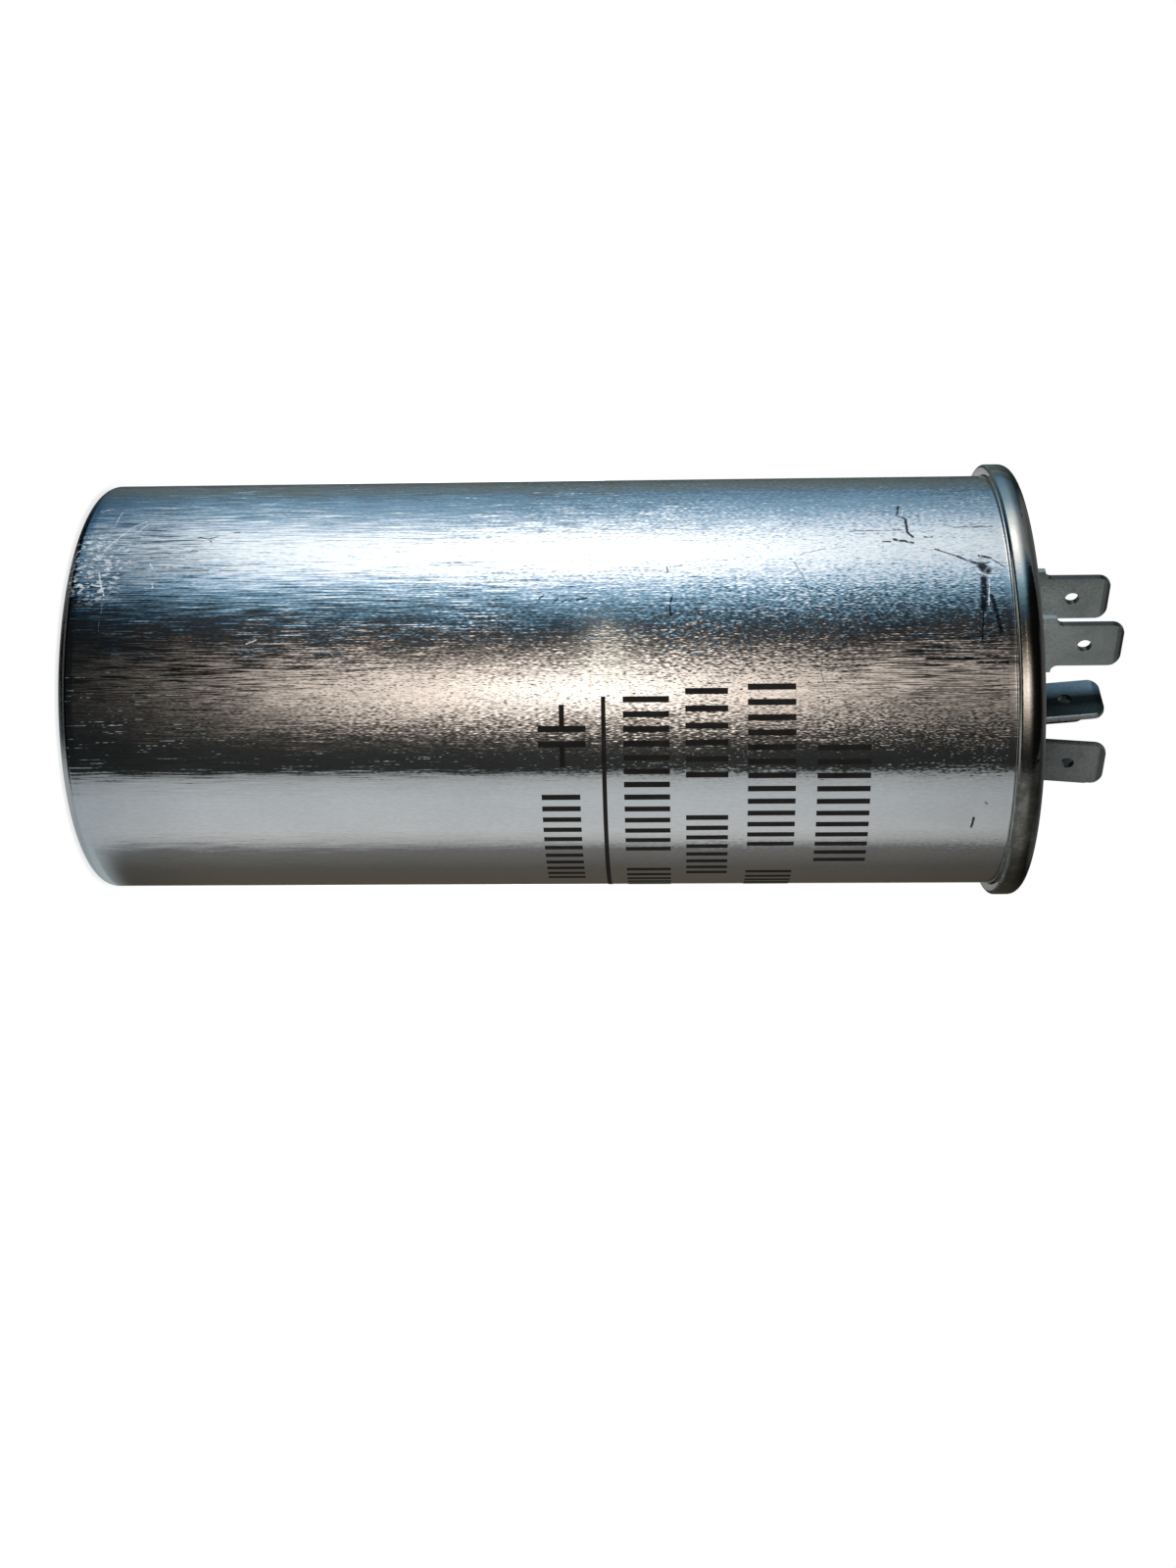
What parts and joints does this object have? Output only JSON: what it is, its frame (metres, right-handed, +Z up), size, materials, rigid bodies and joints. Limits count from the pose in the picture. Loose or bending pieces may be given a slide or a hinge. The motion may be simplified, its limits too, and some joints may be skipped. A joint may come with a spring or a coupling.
{
  "type": "capacitor",
  "caption": "Round motor-run capacitor: drawn aluminium can, double-seamed tinplate cover, and push-on tab terminals riveted through insulating bushings",
  "frame": {"origin": "centre of the flat floor of the can", "axes": "+Z up along the can's axis to the terminals, +X from the two-way terminal to the four-way one"},
  "size_m": [0.0528, 0.0528, 0.1235],
  "materials": {
    "can_aluminium": "drawn, bright satin, scuffed",
    "cover_tinplate": "dull tinplate",
    "tab_tin": "tinned, dull grey",
    "rivet_tin": "tinned",
    "bushing_moulding": "black",
    "seal_rubber": "black",
    "washer_board": "laminate",
    "lug_brass": "plain",
    "ribbon_copper": "tinned copper",
    "winding_film": "metallised film",
    "spray_zinc": "sprayed, rough",
    "liner_plastic": "natural"
  },
  "bodies": {
    "root": {"can": "can_aluminium", "cover": "cover_tinplate", "terminal_two_way": "tab_tin", "terminal_four_way": "tab_tin", "rivet_two_way": "rivet_tin", "rivet_four_way": "rivet_tin", "bushing_two_way": "bushing_moulding", "bushing_four_way": "bushing_moulding", "gasket_two_way": "seal_rubber", "gasket_four_way": "seal_rubber", "washer_two_way": "washer_board", "washer_four_way": "washer_board", "lug_two_way": "lug_brass", "lug_four_way": "lug_brass", "upper_lead": "ribbon_copper", "lower_lead": "ribbon_copper", "winding": "winding_film", "lower_spray": "spray_zinc", "upper_spray": "spray_zinc", "lower_spacer": "liner_plastic", "upper_spacer": "liner_plastic", "sleeve": "liner_plastic", "core_tube": "liner_plastic"}
  },
  "joints": []
}
